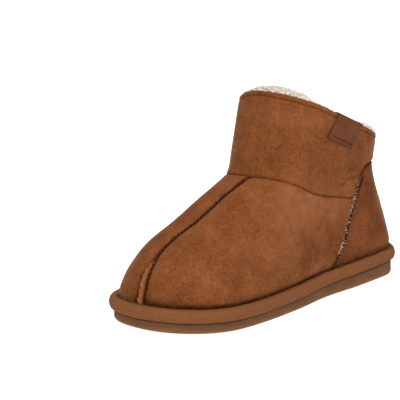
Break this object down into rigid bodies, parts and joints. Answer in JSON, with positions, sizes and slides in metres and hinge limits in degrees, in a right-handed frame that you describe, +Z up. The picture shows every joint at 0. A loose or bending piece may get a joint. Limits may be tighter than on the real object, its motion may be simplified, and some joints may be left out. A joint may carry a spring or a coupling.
{
  "type": "bootie slipper",
  "caption": "Left ankle-high bootie slipper: brown suede panels over a fleece-backed wall, raised vamp seam, folded tag, and a flat platform with a bound edge.",
  "frame": {"origin": "on the floor, under the middle of the bound sole", "axes": "+Z up, -Y towards the toe, +X towards the outer side of the left foot"},
  "size_m": [0.1094, 0.2686, 0.158],
  "materials": {
    "outsole": "matte moulded, tan-brown",
    "platform": "matte foam",
    "binding": "herringbone woven tape",
    "fleece": "curly pile",
    "suede": "brushed suede with a soft nap",
    "suede_back": "darker brushed suede",
    "tag": "pressed smooth leather"
  },
  "bodies": {
    "root": {"outsole": "outsole", "midsole": "platform", "binding": "binding", "insole": "fleece", "upper": "fleece", "vamp_lateral": "suede", "vamp_medial": "suede", "back_panel": "suede_back", "cuff": "suede", "centre_seam": "suede", "tag": "tag"}
  },
  "joints": []
}
